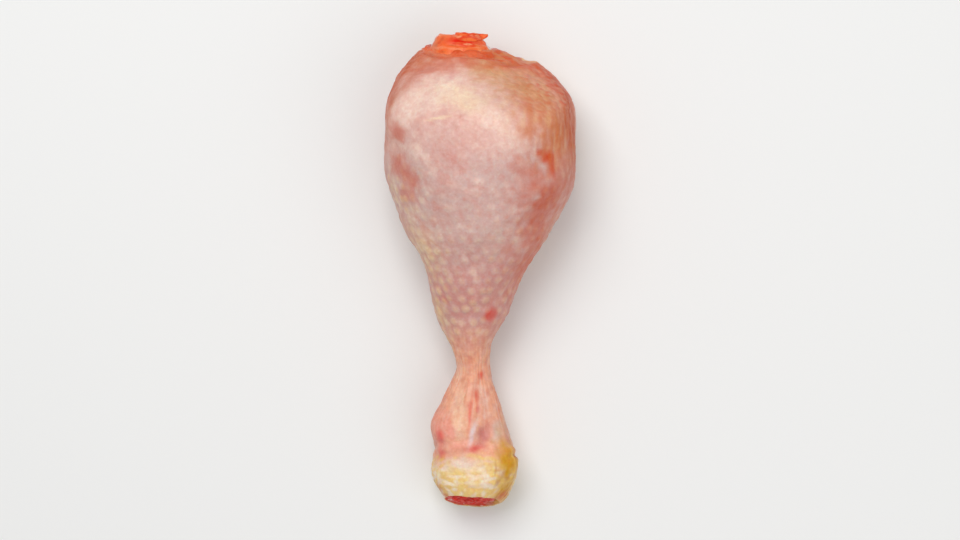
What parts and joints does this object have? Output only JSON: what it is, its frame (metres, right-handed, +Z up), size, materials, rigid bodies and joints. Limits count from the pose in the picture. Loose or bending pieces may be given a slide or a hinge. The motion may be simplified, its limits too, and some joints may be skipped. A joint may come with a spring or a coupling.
{
  "type": "raw chicken drumstick",
  "caption": "Raw skin-on chicken drumstick lying on its side, with the thick knee end whole and the foot cut off at the hock, where bone and marrow show.",
  "frame": {"origin": "on the surface the leg lies on, under the middle of its box", "axes": "+Y along the leg towards the knee end, +X across it, +Z up from the surface"},
  "size_m": [0.0571, 0.1406, 0.0472],
  "materials": {
    "skin": "moist pale pink skin with small bumps, over meat",
    "bone": "moist bone and gristle under red membrane",
    "marrow": "wet red marrow, rough where it was cut"
  },
  "bodies": {
    "root": {"skin_and_meat": "skin", "leg_bone": "bone", "marrow": "marrow"}
  },
  "joints": []
}
